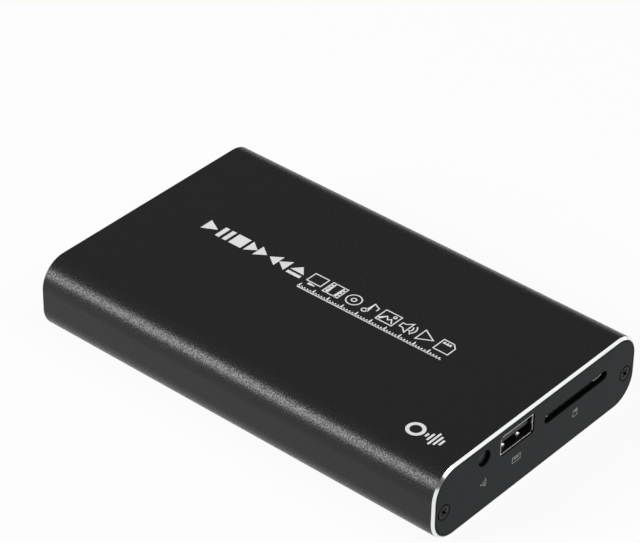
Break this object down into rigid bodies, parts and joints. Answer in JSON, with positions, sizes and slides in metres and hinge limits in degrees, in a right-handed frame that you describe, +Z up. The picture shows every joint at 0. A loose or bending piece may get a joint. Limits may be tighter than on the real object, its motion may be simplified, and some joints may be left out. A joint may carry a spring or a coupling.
{
  "type": "media player with hard drive tray",
  "caption": "Flat media player in an extruded case with rounded long edges; a tray with a hard drive and main board slides out behind the front panel.",
  "frame": {"origin": "middle of the underside, on the surface that the player stands on", "axes": "+Z up, +Y towards the rear panel, X across the width; the front panel faces -Y"},
  "size_m": [0.082, 0.132, 0.0218],
  "materials": {
    "anodised_case": "black anodised over a fine bead blast, bright cut rims",
    "end_panel": "black anodised, satin",
    "black_screw": "black oxide",
    "zinc_sheet": "zinc plated",
    "steel_fastener": "nickel plated",
    "circuit_board": "solder mask",
    "infrared_plastic": "polished",
    "plated_shell": "tin plated sheet",
    "socket_plastic": "moulded",
    "gold_contact": "gold flash",
    "ivory_plastic": "moulded",
    "chip_resin": "moulded",
    "silicone_pad": "soft",
    "black_heat_sink": "black anodised",
    "can_aluminium": "drawn can",
    "cast_aluminium": "die cast and machined",
    "drive_cover_steel": "brushed",
    "drive_steel": "ground",
    "nickel_magnet": "nickel plated",
    "platter_mirror": "polished",
    "coil_copper": "enamelled wire"
  },
  "bodies": {
    "housing": {"housing_sleeve": "anodised_case", "rear_panel": "end_panel", "rear_panel_screws": "black_screw"},
    "tray": {"front_panel": "end_panel", "front_panel_screws": "black_screw", "drive_tray": "zinc_sheet", "board_standoffs": "steel_fastener", "board_screws": "steel_fastener", "main_board": "circuit_board", "ir_window": "infrared_plastic", "ir_receiver": "infrared_plastic", "usb_host_shell": "plated_shell", "usb_host_tongue": "socket_plastic", "usb_host_contacts": "gold_contact", "card_socket_base": "socket_plastic", "card_socket_shell": "plated_shell", "card_socket_contacts": "gold_contact", "card_ejector_spring": "steel_fastener", "drive_socket": "socket_plastic", "hdmi_shell": "plated_shell", "hdmi_tongue": "socket_plastic", "av_jack": "socket_plastic", "dc_jack": "socket_plastic", "dc_jack_pin": "plated_shell", "data_port_shell": "plated_shell", "data_port_tongue": "socket_plastic", "media_processor": "chip_resin", "thermal_pad": "silicone_pad", "heat_sink": "black_heat_sink", "memory_chips": "chip_resin", "bridge_chip": "chip_resin", "power_inductors": "chip_resin", "smoothing_capacitors": "can_aluminium", "clock_crystal": "can_aluminium"},
    "ejector": {"card_ejector": "ivory_plastic"},
    "drive": {"drive_base": "cast_aluminium", "drive_cover": "drive_cover_steel", "drive_cover_screws": "steel_fastener", "drive_screws": "steel_fastener", "drive_board": "circuit_board", "drive_plug": "socket_plastic", "spindle_bearing": "drive_steel", "pivot_pin": "drive_steel", "magnet_yokes": "drive_steel", "coil_magnets": "nickel_magnet", "parking_ramp": "ivory_plastic"},
    "spindle": {"spindle_hub": "cast_aluminium", "platter": "platter_mirror", "platter_clamp": "drive_steel"},
    "heads": {"actuator_arm": "cast_aluminium", "read_heads": "drive_steel", "voice_coil": "coil_copper"}
  },
  "joints": [
    {"name": "tray_slide", "type": "slide", "parent": "housing", "child": "tray", "axis": [0, -1, 0], "range_m": [0, 0.12]},
    {"name": "drive_unplug", "type": "slide", "parent": "tray", "child": "drive", "axis": [0, 1, 0], "range_m": [0, 0.0065]},
    {"name": "ejector_push", "type": "slide", "parent": "tray", "child": "ejector", "axis": [0, 1, 0], "range_m": [0, 0.003], "stiffness_N_per_m": 150, "deforming": ["card_ejector_spring"]},
    {"name": "spindle_spin", "type": "hinge", "parent": "drive", "child": "spindle", "pos_m": [0, 0.01593, 0.006], "axis": [0, 0, 1], "continuous": true},
    {"name": "head_swing", "type": "hinge", "parent": "drive", "child": "heads", "pos_m": [0.01, -0.0235, 0.006], "axis": [0, 0, -1], "range_deg": [0, 34]}
  ]
}
